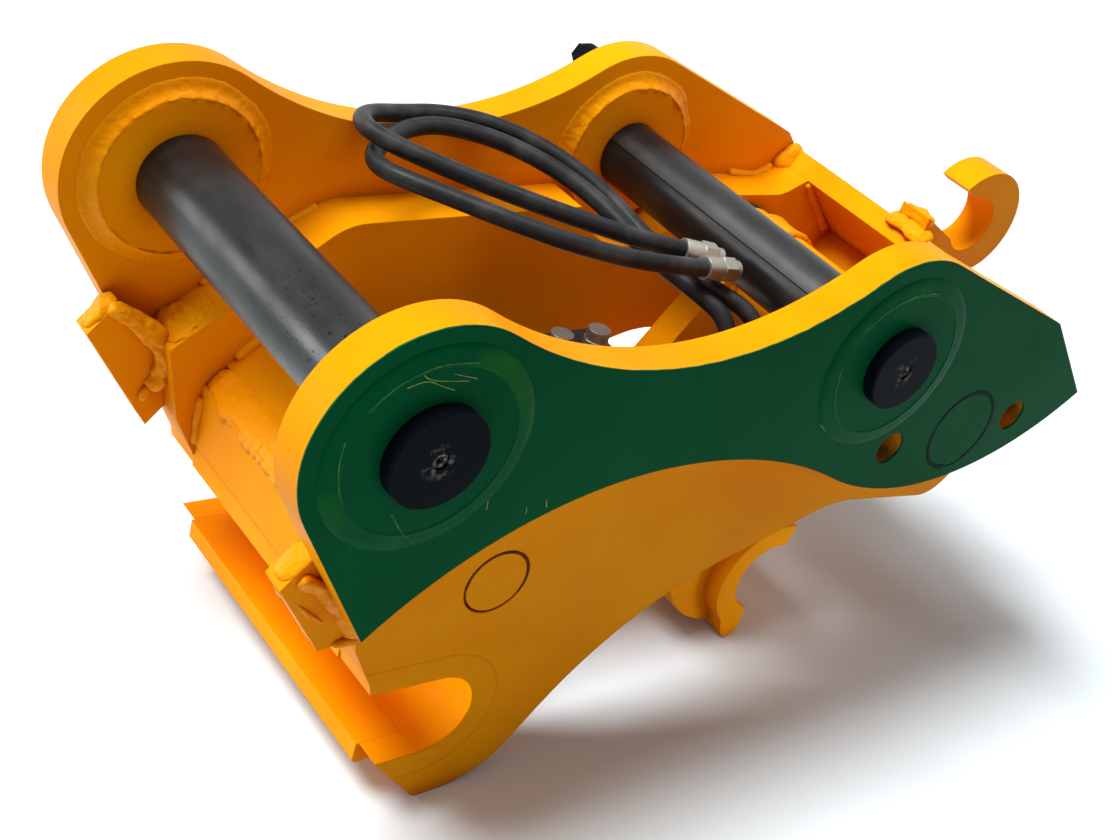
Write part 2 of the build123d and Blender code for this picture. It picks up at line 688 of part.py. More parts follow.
def make_barrel():
    head_start = barrel_start + barrel_length
    head_end = head_start + head_t
    guide_r = rod_r + slide_play
    head_bore_r = guide_r + guide_t
    eye = slab(disc(0, 0, base_eye_r), -base_eye_w / 2, base_eye_w / 2)
    neck = round_bar(0, barrel_start, base_neck_r)
    bore = slab(disc(0, 0, base_pin_d / 2 + hook_play), -base_eye_w, base_eye_w)
    save(along_cylinder(eye + neck - bore), "base_eye")
    barrel = (round_bar(barrel_start, barrel_start + barrel_wall_end, barrel_r)
              + round_bar(barrel_start + barrel_wall_end, head_start, barrel_r, bore_r))
    save(along_cylinder(barrel), "cylinder_barrel")
    spigot_start = head_start - head_spigot
    head = (round_bar(head_start, head_end, head_r, head_bore_r)
            + round_bar(spigot_start, head_start, bore_r - head_spigot_play, head_bore_r))
    save(along_cylinder(head), "cylinder_head")
    save(along_cylinder(round_bar(spigot_start, head_end, head_bore_r, guide_r)), "rod_guide")
    save(along_cylinder(round_bar(head_end, head_end + wiper_t, rod_r + wiper_w, guide_r)),
         "rod_wiper")

    valve_top = barrel_r - valve_sink + valve_h
    block = Pos(valve_from_base, 0, valve_top - valve_h / 2) * Box(valve_length, valve_w, valve_h)
    block = fillet(block.edges().filter_by(Axis.Z), valve_round)
    block -= round_bar(0, head_start, barrel_r)
    save(along_cylinder(block), "check_valve_block")
    fittings = []
    for side in (-1, 1):
        at = Pos(valve_from_base + side * port_spacing / 2, 0, valve_top)
        nut = extrude(RegularPolygon(port_nut_r, 6), amount=port_nut_h)
        fittings.append(along_cylinder(at * (nut + extrude(Circle(port_r), amount=port_h))))
    save(group(*fittings), "port_fittings")


def make_rod():
    piston_end = barrel_start + barrel_length - head_spigot - piston_from_head
    piston_start = piston_end - piston_t
    piston = round_bar(piston_start, piston_end, bore_r - slide_play, rod_tail_r)
    seals = []
    for start in (piston_start + seal_inset, piston_end - seal_inset - seal_w):
        groove = round_bar(start, start + seal_w, bore_r, bore_r - seal_depth)
        seals.append(along_cylinder(
            round_bar(start, start + seal_w, bore_r - slide_play, bore_r - seal_depth)))
        piston -= groove
    save(along_cylinder(piston), "piston")
    save(group(*seals), "piston_seals")
    eye = Pos(rod_length, 0, 0) * slab(disc(0, 0, rod_eye_r), -rod_eye_w / 2, rod_eye_w / 2)
    pin_hole = Pos(rod_length, 0, 0) * slab(
        disc(0, 0, rod_pin_d / 2 + rod_eye_play), -rod_eye_w, rod_eye_w)
    rod = round_bar(piston_start, piston_end, rod_tail_r) + round_bar(piston_end, rod_length, rod_r)
    save(along_cylinder(rod - eye), "piston_rod")
    save(along_cylinder(eye - pin_hole), "rod_eye")


def make_base_mount():
    """Lugs on the jaw plate and the pin through them that the cylinder swings on."""
    lug_in = base_eye_w / 2 + lug_gap
    below = outline((base_pin_x - lug_r, base_pin_z), (base_pin_x + lug_r, base_pin_z),
                    (base_pin_x + lug_r, jaw_z),
                    (base_pin_x - lug_r - lug_foot_spread, jaw_z))
    lug = disc(base_pin_x, base_pin_z, lug_r) + below - jaw_opening(jaw_plate_t)
    lug -= disc(base_pin_x, base_pin_z, base_pin_d / 2 + seat_contact)
    lugs = both_sides(lug, lug_in, lug_in + lug_t)
    save(lugs[0], "cylinder_lug_near")
    save(lugs[1], "cylinder_lug_far")
    pin_end = inner_y - base_plug_t
    save(slab(disc(base_pin_x, base_pin_z, base_pin_d / 2), -pin_end, pin_end), "base_pin")
    save(group(*both_sides(disc(base_pin_x, base_pin_z, base_plug_r), pin_end, inner_y)),
         "base_pin_plugs")


def hose_ports():
    """Where the hoses leave the bulkhead fittings, as (x, y, z)."""
    y = hose_port_inset - clear_y
    z = hose_bracket_z + bulkhead_nut_h + ferrule_length
    return [(hose_bracket_x + side * hose_port_spacing / 2, y, z) for side in (1, -1)]


def hose_path(points):
    """Straight runs joined by tangent arcs, each as large as its two runs allow."""
    radii = []
    for before, corner, after in zip(points, points[1:], points[2:]):
        run_in = Vector(*corner) - Vector(*before)
        run_out = Vector(*after) - Vector(*corner)
        half_turn = radians(run_in.get_angle(run_out)) / 2
        radii.append(hose_arc_share * min(run_in.length, run_out.length) / tan(half_turn))
    print("hose arc radii", [round(r) for r in radii])
    return FilletPolyline(*points, radius=radii)


def end_fitting(path):
    """Ferrule, nut and cap on a hose's free end, along its last run."""
    nut_end = ferrule_length + end_nut_length
    fitting = extrude(Circle(ferrule_r), amount=ferrule_length)
    fitting += Pos(0, 0, ferrule_length) * extrude(RegularPolygon(end_nut_r, 6, major_radius=False),
                                                   amount=end_nut_length)
    fitting += Pos(0, 0, nut_end) * extrude(Circle(end_cap_r), amount=end_cap_length)
    return Plane(origin=path @ 1, z_dir=path % 1) * fitting


def make_hoses():
    """Bracket, bulkhead fittings, and the two hoses with their free ends' fittings."""
    ports = hose_ports()
    length = hose_port_spacing + 2 * hose_bracket_edge
    reach = hose_port_inset + hose_bracket_edge
    plate = Pos(hose_bracket_x, reach / 2 - clear_y) * Rectangle(length, reach)
    corners = plate.vertices().sort_by(Axis.Y)[-2:]
    plate = fillet(corners, hose_bracket_round)
    for x, y, _ in ports:
        plate -= Pos(x, y) * Circle(bulkhead_r)
    under = hose_bracket_z - hose_bracket_t
    bracket = Pos(0, 0, under) * extrude(plate, amount=hose_bracket_t)
    gusset = make_face(Polyline((-clear_y, under), (reach - clear_y, under),
                                (-clear_y, under - hose_gusset_h), close=True))
    bracket += Pos(hose_bracket_x - hose_gusset_t / 2, 0, 0) * extrude(
        Plane.YZ * gusset, amount=hose_gusset_t)
    save(bracket, "hose_bracket")

    bulkheads = []
    for x, y, z in ports:
        nut = extrude(RegularPolygon(bulkhead_nut_r, 6, major_radius=False), amount=bulkhead_nut_h)
        stub_z = under - bulkhead_nut_h - bulkhead_stub
        bulkheads.append(
            Pos(x, y, stub_z) * extrude(Circle(bulkhead_r), amount=hose_bracket_z - stub_z)
            + Pos(x, y, under - bulkhead_nut_h) * nut + Pos(x, y, hose_bracket_z) * nut
            + Pos(x, y, z - ferrule_length) * extrude(Circle(ferrule_r), amount=ferrule_length))
    save(group(*bulkheads), "bulkhead_fittings")

    fittings = []
    routes = {"open_hose": open_hose_route, "close_hose": close_hose_route}
    for (name, route), (x, y, z) in zip(routes.items(), ports):
        path = hose_path([(x, y, z), (x, y, z + hose_rise)] + route)
        hose = sweep(Plane(origin=path @ 0, z_dir=path % 0) * Circle(hose_d / 2), path=path)
        share = hose.volume / (path.length * Circle(hose_d / 2).area)
        print(name, "length", round(path.length), "volume over section times length", round(share, 4))
        save(hose, name)
        fittings.append(end_fitting(path))
    save(group(*fittings), "hose_end_fittings")


part_steps = [make_side_plates, make_bosses, make_pins, make_front, make_rear, make_hook,
              make_barrel, make_rod, make_base_mount, make_hoses]


def main():
    os.makedirs("parts", exist_ok=True)
    for step in part_steps:
        step()


main()
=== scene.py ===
"""Hydraulic quick coupler: paint, steel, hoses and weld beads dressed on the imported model.

Metres, in the model's own frame: the origin is on the stick pin's axis, +X runs to the link
pin, +Y to the far side, +Z up.
"""
import json
from math import cos, pi, radians, sin

import bpy
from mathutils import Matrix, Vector, noise


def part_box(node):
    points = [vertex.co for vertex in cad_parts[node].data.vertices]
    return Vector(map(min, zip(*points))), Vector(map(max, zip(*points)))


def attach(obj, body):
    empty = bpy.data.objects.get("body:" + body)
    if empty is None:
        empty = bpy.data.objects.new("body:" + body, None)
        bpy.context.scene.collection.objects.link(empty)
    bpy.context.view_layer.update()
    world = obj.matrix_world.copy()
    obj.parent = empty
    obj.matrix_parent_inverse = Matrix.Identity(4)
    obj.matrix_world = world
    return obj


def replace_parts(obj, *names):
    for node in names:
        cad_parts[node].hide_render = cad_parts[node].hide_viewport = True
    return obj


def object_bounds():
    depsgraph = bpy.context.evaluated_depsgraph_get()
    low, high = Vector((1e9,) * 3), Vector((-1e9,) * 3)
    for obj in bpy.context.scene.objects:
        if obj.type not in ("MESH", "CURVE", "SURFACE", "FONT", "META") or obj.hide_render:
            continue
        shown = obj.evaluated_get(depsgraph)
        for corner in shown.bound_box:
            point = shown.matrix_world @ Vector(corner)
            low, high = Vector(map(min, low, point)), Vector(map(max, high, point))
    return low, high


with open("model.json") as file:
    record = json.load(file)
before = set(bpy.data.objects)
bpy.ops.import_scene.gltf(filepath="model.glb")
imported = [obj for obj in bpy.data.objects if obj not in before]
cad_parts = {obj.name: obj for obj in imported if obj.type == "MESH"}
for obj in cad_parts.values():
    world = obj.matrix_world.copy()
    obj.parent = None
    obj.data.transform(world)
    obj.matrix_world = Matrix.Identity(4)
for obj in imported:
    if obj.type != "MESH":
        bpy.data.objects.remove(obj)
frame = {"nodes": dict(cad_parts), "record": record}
cad_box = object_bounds()
nodes = frame["nodes"]

# Camera, fitted to the pins, bosses and plate outlines of the photograph
camera_place = (-0.60565, -0.96374, 0.63704)
camera_turn = (58.235, -15.825, -38.417)
camera_lens = 52.6
camera_shift = -0.0893

# Light: the way to the key light, its strength and its width in degrees, then the sky's strength
key_from = (-0.42, 0.22, 0.88)
key_light = 3.5
key_width = 26
sky_light = 0.24

# Panels of light: name, watts, place, the point it is turned toward, size, spread in degrees
light_panels = (
    ("window", 22.0, (-1.7, 1.9, 0.33), (0.0, 0.0, 0.0), (1.1, 0.9), 180.0),
    ("bay", 7.0, (0.38, -0.02, 1.05), (0.38, 0.24, 0.0), (1.0, 0.30), 180.0),
    ("jaw", 0.09, (-0.60, 0.10, -0.36), (0.12, -0.02, -0.315), (0.5, 0.06), 12.0),
    ("hook", 0.09, (0.80, -0.45, -0.40), (0.56, -0.05, -0.36), (0.2, 0.08), 50.0),
)

# Floor: how much light it bounces, its colour to the camera, its size, middle and drop below
# the part
floor_bounce = 0.62
floor_seen = (0.84, 0.92, 0.96, 1.0)
floor_size = 30.0
floor_x = 0.4
floor_drop = 0.0005

# Places on the frame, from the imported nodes
side_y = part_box("upper_plate_far")[1].y
inner_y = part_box("upper_plate_far")[0].y
clear_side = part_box("lower_plate_near")[0].y
link_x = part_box("link_pin")[0].x * 0.5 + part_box("link_pin")[1].x * 0.5
floor_z = cad_box[0][2]

# Places and sizes as in the part's source, in metres
boss_r = 0.072
boss_proud = 0.003
shaft_x = 0.638
shaft_z = -0.100
base_pin_x = 0.130
base_pin_z = -0.183
safety_holes = ((0.534, -0.102), (0.716, -0.096))

# Round them: the width of a boss's outer ring, the bead on the hook's hub and the plugs' grooves
boss_ring_w = 0.016
hub_bead_r = 0.0545
shaft_groove_r = 0.0435
base_groove_r = 0.0305

# Seams, in millimetres from the middle: the lower plates' inner faces, and the lap between the
# lower and the upper plates
seam_y = 137
lap_y = 187

# Green paint: the depth where it ends on the cut edges, its soft edge and its wander, and the
# reach round the hook shaft and round each safety hole (where it starts to change, where it ends)
green_face_y = 0.0016 - side_y
green_edge_w = 0.0008
green_wander = 0.0022
shaft_field = (0.0460, 0.0470)
hole_field = (0.020, 0.021)

yellow = (0.88, 0.335, 0.002)
yellow_shade = (0.82, 0.265, 0.001)
# Painted shade: the deep orange mixed into the yellow in corners and beside welds
yellow_painted_shade = (0.56, 0.110, 0.001)
yellow_pale = (0.95, 0.52, 0.02)
yellow_gloss = (1.0, 0.78, 0.12)
crease_brown = (0.16, 0.035, 0.001)
green = (0.0005, 0.094, 0.031)
green_shade = (0.0003, 0.068, 0.022)
green_edge = (0.02, 0.17, 0.015)
green_gloss = (0.10, 1.0, 0.45)
groove_green = (0.0003, 0.018, 0.006)
scratch_yellow = (0.62, 0.60, 0.20)
# Painted highlight: the light green of thin raised lines along the boss rings
painted_highlight_green = (0.05, 0.24, 0.05)
steel_dark = (0.022, 0.023, 0.023)
steel_light = (0.082, 0.086, 0.083)
fleck_black = (0.006, 0.007, 0.010)
line_black = (0.004, 0.004, 0.005)
cap_black = (0.002, 0.004, 0.006)
cap_dust = (0.16, 0.15, 0.14)
screw_dark = (0.030, 0.030, 0.032)
screw_dust = (0.22, 0.20, 0.17)
zinc = (0.42, 0.40, 0.35)
bronze = (0.48, 0.27, 0.10)
chrome = (0.80, 0.80, 0.80)
rubber = (0.012, 0.012, 0.013)
hose_black = (0.010, 0.011, 0.013)
hose_dust = (0.055, 0.055, 0.052)
cylinder_black = (0.015, 0.015, 0.016)

# Hoses: thickness and length in metres, and each route's points as in the part's source, in
# millimetres: the first two stand straight over a bulkhead fitting
hose_d = 0.017
hose_routes = {
    "open_hose": [
        (449, -106, -84), (449, -106, -53.4),
        (443, -88, -26), (422, -52, -18), (403, -10, -14), (394, 34, -4), (384, 76, 10),
        (366, 117, 23), (337, 152, 34), (300, 176, 43), (257, 196, 44.4), (213, 197, 44.4),
        (180, 187, 51), (154, 169, 57), (146, 145, 58), (160, 120, 54), (196, 90, 46),
        (246, 48, 37), (302, 10, 28), (352, -16, 19), (390, -27, 13)],
    "close_hose": [
        (407, -106, -84), (407, -106, -53.4),
        (410, -88, -27), (398, -57, -17), (381, -16, -9), (372, 28, 2), (361, 68, 14),
        (341, 106, 25), (311, 140, 34), (277, 162, 40), (244, 176, 42.5), (210, 174, 41.5),
        (179, 160, 38), (153, 139, 35), (146, 112, 36), (158, 84, 38), (184, 48, 38),
        (216, 8, 36), (258, -28, 31), (310, -49, 23), (358, -56, 16), (392, -57, 11)],
}


class Material:
    """A node material with a Principled shader and short ways to add to it."""

    def __init__(self, name, metallic, roughness, gloss=0.5, tint=(1.0, 1.0, 1.0)):
        self.material = bpy.data.materials.new(name)
        self.material.use_nodes = True
        self.nodes = self.material.node_tree.nodes
        self.links = self.material.node_tree.links
        self.shader = self.nodes["Principled BSDF"]
        self.shader.inputs["Metallic"].default_value = metallic
        self.shader.inputs["Roughness"].default_value = roughness
        self.shader.inputs["Specular IOR Level"].default_value = gloss
        self.shader.inputs["Specular Tint"].default_value = (*tint, 1.0)
        self.place = self.nodes.new("ShaderNodeTexCoord").outputs["Object"]

    def noise(self, scale, detail=4.0, stretch=(1, 1, 1), roughness=0.55):
        mapping = self.nodes.new("ShaderNodeMapping")
        mapping.inputs["Scale"].default_value = stretch
        self.links.new(self.place, mapping.inputs["Vector"])
        texture = self.nodes.new("ShaderNodeTexNoise")
        texture.inputs["Scale"].default_value = scale
        texture.inputs["Detail"].default_value = detail
        texture.inputs["Roughness"].default_value = roughness
        self.links.new(mapping.outputs["Vector"], texture.inputs["Vector"])
        return texture.outputs["Fac"]

    def ramp(self, value, low, high, bottom=0.0, top=1.0):
        fit = self.nodes.new("ShaderNodeMapRange")
        fit.inputs["From Min"].default_value = low
        fit.inputs["From Max"].default_value = high
        fit.inputs["To Min"].default_value = bottom
        fit.inputs["To Max"].default_value = top
        self.links.new(value, fit.inputs["Value"])
        return fit.outputs["Result"]

    def math(self, operation, first, second=0.0):
        node = self.nodes.new("ShaderNodeMath")
        node.operation = operation
        for socket, value in zip(node.inputs, (first, second)):
            if isinstance(value, (int, float)):
                socket.default_value = value
            else:
                self.links.new(value, socket)
        return node.outputs[0]

    def mix(self, share, first, second):
        mix = self.nodes.new("ShaderNodeMix")
        mix.data_type = "RGBA"
        self.links.new(share, mix.inputs["Factor"])
        for socket, value in (("A", first), ("B", second)):
            target = [s for s in mix.inputs if s.name == socket and s.type == "RGBA"][0]
            if isinstance(value, tuple):
                target.default_value = (*value, 1.0)
            else:
                self.links.new(value, target)
        return [s for s in mix.outputs if s.type == "RGBA"][0]

    def corners(self, reach):
        """1 in the open, less in corners and beside welds; used as the mask for painted shade."""
        shade = self.nodes.new("ShaderNodeAmbientOcclusion")
        shade.inputs["Distance"].default_value = reach
        return shade.outputs["AO"]

    def bump(self, height, strength, distance, rounded=None):
        bump = self.nodes.new("ShaderNodeBump")
        bump.inputs["Strength"].default_value = strength
        bump.inputs["Distance"].default_value = distance
        self.links.new(height, bump.inputs["Height"])
        if rounded:
            bevel = self.nodes.new("ShaderNodeBevel")
            bevel.inputs["Radius"].default_value = rounded
            self.links.new(bevel.outputs["Normal"], bump.inputs["Normal"])
        self.links.new(bump.outputs["Normal"], self.shader.inputs["Normal"])

    def axis(self, name):
        split = self.nodes.new("ShaderNodeSeparateXYZ")
        self.links.new(self.place, split.inputs["Vector"])
        return split.outputs[name]

    def reach(self, x, z):
        """Squared distance from an axis along Y."""
        across = self.math("SUBTRACT", self.axis("X"), x)
        above = self.math("SUBTRACT", self.axis("Z"), z)
        return self.math("ADD", self.math("MULTIPLY", across, across),
                         self.math("MULTIPLY", above, above))

    def color(self, value):
        self.links.new(value, self.shader.inputs["Base Color"])

    def roughness(self, value):
        self.links.new(value, self.shader.inputs["Roughness"])


def yellow_color(m):
    """Mottled yellow, paler where it has rubbed thin, with painted shade: deeper orange in corners
    and beside welds.
    """
    body = m.mix(m.ramp(m.noise(6.0, 5.0), 0.38, 0.66), yellow, yellow_shade)
    rubbed = m.ramp(m.noise(34.0, 6.0, (1, 0.5, 1), 0.7), 0.66, 0.80, 0.0, 0.45)
    body = m.mix(rubbed, body, yellow_pale)
    # Painted shade: ambient occlusion mixes the deep orange into corners and beside welds
    corner = m.ramp(m.corners(0.030), 0.25, 0.85, 0.85, 0.0)
    return m.mix(corner, body, yellow_painted_shade)


def paint_grain(m):
    """Orange peel, with the drag of the gun across broad faces."""
    peel = m.noise(150.0, 2.0)
    drag = m.noise(26.0, 3.0, (1, 0.25, 1))
    return m.math("ADD", m.math("MULTIPLY", peel, 0.5), drag)


def yellow_paint():
    m = Material("yellow paint", 0.0, 0.40, 0.04, yellow_gloss)
    m.color(yellow_color(m))
    m.roughness(m.ramp(m.noise(11.0), 0.3, 0.7, 0.36, 0.52))
    m.bump(paint_grain(m), 0.22, 0.0011, rounded=0.0022)
    return m.material


def weld_paint():
    """The same yellow over rough weld metal, with bright ridges and deep hollows, and painted shade
    in the corners beside the beads.
    """
    m = Material("yellow paint on welds", 0.0, 0.26, 0.16, yellow_gloss)
    m.color(yellow_color(m))
    m.roughness(m.ramp(m.noise(30.0), 0.3, 0.7, 0.20, 0.42))
    lumps = m.math("ADD", m.noise(190.0, 3.0), m.math("MULTIPLY", m.noise(75.0, 2.0), 1.4))
    m.bump(lumps, 0.55, 0.0022)
    return m.material


def green_color(m):
    return m.mix(m.ramp(m.noise(4.0), 0.3, 0.7), green, green_shade)


def green_paint():
    """Green on the outward face; cut edges stay yellow, and some spray reached the holes."""
    m = Material("green paint", 0.0, 0.34, 0.022, green_gloss)
    wander = m.math("MULTIPLY", m.math("SUBTRACT", m.noise(60.0, 3.0), 0.5), green_wander)
    depth = m.math("ADD", m.axis("Y"), wander)
    edge = m.ramp(depth, green_face_y, green_face_y + green_edge_w)
    open_field = m.ramp(m.reach(shaft_x, shaft_z), *(reach ** 2 for reach in shaft_field))
    open_field = m.math("MAXIMUM", open_field, m.ramp(m.axis("Y"), 0.0, 0.01))
    nearest = m.math("MINIMUM", *(m.reach(x, z) for x, z in safety_holes))
    in_hole = m.ramp(nearest, *(reach ** 2 for reach in hole_field), 0.75, 0.0)
    spray = m.math("MULTIPLY", in_hole, m.ramp(m.noise(48.0, 3.0), 0.36, 0.60))
    # The yellow on cut edges and in the holes carries the yellow's painted shade in corners
    under = m.mix(spray, yellow_color(m), green_color(m))
    m.color(m.mix(m.math("MULTIPLY", edge, open_field), green_color(m), under))
    m.roughness(m.ramp(m.noise(8.0), 0.3, 0.7, 0.32, 0.44))
    m.bump(paint_grain(m), 0.14, 0.0010, rounded=0.0022)
    return m.material


def green_bead_paint():
    m = Material("green paint on boss beads", 0.0, 0.28, 0.030, green_gloss)
    m.color(m.mix(m.ramp(m.noise(12.0, 3.0), 0.58, 0.74, 0.0, 0.5), green_color(m), green_edge))
    m.roughness(m.ramp(m.noise(14.0), 0.3, 0.7, 0.24, 0.38))
    m.bump(paint_grain(m), 0.12, 0.0010)
    return m.material


def pin_steel(name, flecks_to, line_at=None):
    """Dark drawn steel: streaks of grease, flecks near one end and, on one pin, a straight line
    with a painted highlight beside it: a band of lighter steel on its upper side.
    """
    m = Material(name, 0.85, 0.34)
    patches = m.ramp(m.noise(9.0, 6.0, (1, 0.3, 1)), 0.42, 0.74)
    body = m.mix(patches, steel_dark, steel_light)
    spots = m.ramp(m.noise(330.0, 2.0, (1, 0.6, 1)), 0.63, 0.67)
    near_end = m.ramp(m.axis("Y"), flecks_to, flecks_to + 0.03, 1.0, 0.0)
    body = m.mix(m.math("MULTIPLY", spots, near_end), body, fleck_black)
    if line_at:
        turn = radians(line_at)
        across = m.math("SUBTRACT", m.axis("X"), link_x)
        off = m.math("ADD", m.math("MULTIPLY", across, sin(turn)),
                     m.math("MULTIPLY", m.axis("Z"), -cos(turn)))
        # Painted highlight: a band of lighter steel along one side of the line, on the pin's upper
        # half
        band = m.math("MULTIPLY", m.ramp(off, 0.0, 0.0006), m.ramp(off, 0.004, 0.016, 1.0, 0.0))
        line = m.ramp(m.math("ABSOLUTE", off), 0.0004, 0.0009, 1.0, 0.0)
        upper = m.ramp(m.axis("Z"), 0.0, 0.004)
        body = m.mix(m.math("MULTIPLY", m.math("MULTIPLY", band, upper), 0.5), body, steel_light)
        body = m.mix(m.math("MULTIPLY", line, upper), body, line_black)
    m.color(body)
    m.roughness(m.ramp(m.noise(18.0, 5.0), 0.3, 0.75, 0.26, 0.46))
    m.bump(m.noise(60.0, 3.0, (6, 0.4, 6)), 0.10, 0.0004, rounded=0.0015)
    return m.material


def cap_finish():
    """Black caps: nearly smooth, with grey dust in the middle round the screw."""
    m = Material("cap black", 0.0, 0.42, 0.025)
    nearest = m.math("MINIMUM", m.reach(0.0, 0.0), m.reach(link_x, 0.0))
    dust = m.ramp(nearest, 0.008 ** 2, 0.017 ** 2, 1.0, 0.0)
    spots = m.ramp(m.noise(140.0, 4.0), 0.52, 0.64)
    m.color(m.mix(m.math("MULTIPLY", dust, spots), cap_black, cap_dust))
    m.bump(m.noise(220.0, 3.0), 0.10, 0.0004, rounded=0.0012)
    return m.material


def grimy_screw():
    """Cap screws: dark, with grey dirt in small spots."""
    m = Material("grimy screw", 0.4, 0.6, 0.2)
    m.color(m.mix(m.ramp(m.noise(330.0, 4.0), 0.50, 0.60), screw_dark, screw_dust))
    m.bump(m.noise(500.0, 3.0), 0.6, 0.0012)
    return m.material


def flat_paint(name, color, roughness=0.5):
    """Scratches, creases and painted highlight lines: one thin line of paint with a broken colour.
    """
    m = Material(name, 0.0, roughness, 0.03)
    m.color(m.mix(m.ramp(m.noise(160.0, 3.0), 0.35, 0.65), color, tuple(c * 0.45 for c in color)))
    m.bump(m.noise(300.0), 0.2, 0.0004)
    return m.material


def hose_rubber():
    """Black rubber cover with the print of its wrap and a little grey dust in patches."""
    m = Material("hose rubber", 0.0, 0.42, 0.16)
    dust = m.ramp(m.noise(24.0, 5.0), 0.48, 0.78)
    m.color(m.mix(dust, hose_black, hose_dust))
    m.roughness(m.ramp(m.noise(40.0), 0.3, 0.7, 0.34, 0.55))
    m.bump(m.noise(260.0, 3.0), 0.18, 0.0005)
    return m.material


def plain(name, color, metallic, roughness, gloss=0.5, scale=40.0, strength=0.12):
    """A finish with a little change of colour and a fine grain."""
    m = Material(name, metallic, roughness, gloss)
    darker = tuple(channel * 0.65 for channel in color)
    m.color(m.mix(m.ramp(m.noise(scale / 3), 0.35, 0.7), color, darker))
    m.bump(m.noise(scale * 3, 3.0), strength, 0.0004, rounded=0.001)
    return m.material


def make_finishes():
    return {
        "yellow_paint": yellow_paint(),
        "green_paint": green_paint(),
        "dark_steel": pin_steel("pin steel", -0.045),
        "link_pin": pin_steel("link pin steel", -0.150, 148.0),
        "screw": grimy_screw(),
        "crease": flat_paint("brown crease", crease_brown),
        "green_groove": flat_paint("dark green groove", groove_green),
        "scratch": flat_paint("yellow scratch", scratch_yellow),
        "painted_highlight_lines": flat_paint("light green painted highlight", painted_highlight_green, 0.3),
        "cap_black": cap_finish(),
        "zinc_steel": plain("zinc steel", zinc, 0.9, 0.42),
        "cylinder_black": plain("cylinder black", cylinder_black, 0.0, 0.35),
        "bronze": plain("bronze", bronze, 1.0, 0.35),
        "chrome": plain("chrome", chrome, 1.0, 0.08, strength=0.02),
        "seal_rubber": plain("seal rubber", rubber, 0.0, 0.6),
        "hose_rubber": hose_rubber(),
        "weld": weld_paint(),
        "green_bead": green_bead_paint(),
    }


def dress_nodes(finishes):
    """The finish of each node's slot, or its own."""
    own = {"link_pin": "link_pin", "pin_cap_screws": "screw", "link_pin_flag": "cap_black",
           "stick_pin_flag": "cap_black", "pin_flag_bolts": "cap_black"}
    for entry in frame["record"]["subparts"]:
        mesh = nodes[entry["node"]].data
        mesh.materials.clear()
        mesh.materials.append(finishes[own.get(entry["node"], entry["material_slot"])])


def add_piece(name, vertices, faces, material, body="frame"):
    mesh = bpy.data.meshes.new(name)
    mesh.from_pydata(vertices, [], faces)
    mesh.materials.append(material)
    mesh.polygons.foreach_set("use_smooth", [True] * len(mesh.polygons))
    mesh.update()
    piece = bpy.data.objects.new(name, mesh)
    bpy.context.scene.collection.objects.link(piece)
    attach(piece, body)
    return piece


def resample(points, step):
    """Points about step apart along a smooth line (Catmull-Rom) through the given ones."""
    closed = points[0] == points[-1]
    line = [Vector(p) for p in points]
    result = []
    for i in range(len(line) - 1):
        before = line[i - 1] if i else (line[-2] if closed else line[0])
        last = i + 2 >= len(line)
        after = line[i + 2] if not last else (line[1] if closed else line[-1])
        start, end = line[i], line[i + 1]
        count = max(1, round((end - start).length / step))
        for k in range(count):
            t = k / count
            result.append(0.5 * (2 * start + (end - before) * t
                                 + (2 * before - 5 * start + 4 * end - after) * t * t
                                 + (3 * start - before - 3 * end + after) * t ** 3))
    if not closed:
        result.append(line[-1])
    return result, closed


def half_round(across, height, sides=16):
    """An oval section, lying on its widest line."""
    return [(across * cos(2 * pi * k / sides), height * sin(2 * pi * k / sides))
            for k in range(sides)]


class Welds:
    """Collects weld beads into one mesh."""

    def __init__(self):
        self.vertices = []
        self.faces = []

    def run(self, points, up, section, lumps=0.18, grain=140.0, step=0.0022):
        """A bead with this section along points; up is the way that it stands out of its seat."""
        line, closed = resample(points, step)
        up = Vector(up).normalized()
        first = len(self.vertices)
        sides = len(section)
        widest = max(abs(s) for s, h in section)
        for i, point in enumerate(line):
            ahead = line[(i + 1) % len(line)] if closed or i + 1 < len(line) else point
            behind = line[i - 1] if closed or i else point
            side = (ahead - behind).normalized().cross(up).normalized()
            rise = side.cross((ahead - behind).normalized())
            # An open bead rounds off over its own width at both ends
            end = 1.0
            if not closed:
                end = min(1.0, 0.3 + min(i, len(line) - 1 - i) * step / widest) ** 0.5
            # Slow waves along the bead, then fine lumps on its skin
            slow = 1.0 + lumps * 0.7 * noise.noise(point * grain * 0.25)
            for s, h in section:
                place = point + side * s + rise * h
                swell = 1.0 + lumps * (noise.noise(place * grain)
                                       + 0.4 * noise.noise(place * grain * 2.7))
                tall = h * swell * slow * end if h > 0 else h * end
                self.vertices.append(point + side * (s * slow * end * (0.6 + 0.4 * swell))
                                     + rise * tall)
        rows = len(line)
        for i in range(rows if closed else rows - 1):
            a = first + i * sides
            b = first + (i + 1) % rows * sides
            for k in range(sides):
                n = (k + 1) % sides
                self.faces.append((a + k, b + k, b + n, a + n))
        if not closed:
            self.faces.append(tuple(range(first, first + sides)))
            self.faces.append(tuple(range(first + rows * sides - 1,
                                          first + (rows - 1) * sides - 1, -1)))

    def bead(self, points, up, across, height, lumps=0.18, grain=140.0, sides=16):
        self.run(points, up, half_round(across, height, sides), lumps, grain)

    def ring(self, x, y, out, section, lumps, grain, step=0.0022):
        """A closed bead round a boss; section runs outwards from the boss's edge."""
        around = circle(x, y, 0.0, boss_r)
        self.run(around if out < 0 else around[::-1], (0, out, 0), section, lumps, grain, step)

    def piece(self, name, material, body="frame"):
        return add_piece(name, self.vertices, self.faces, material, body)


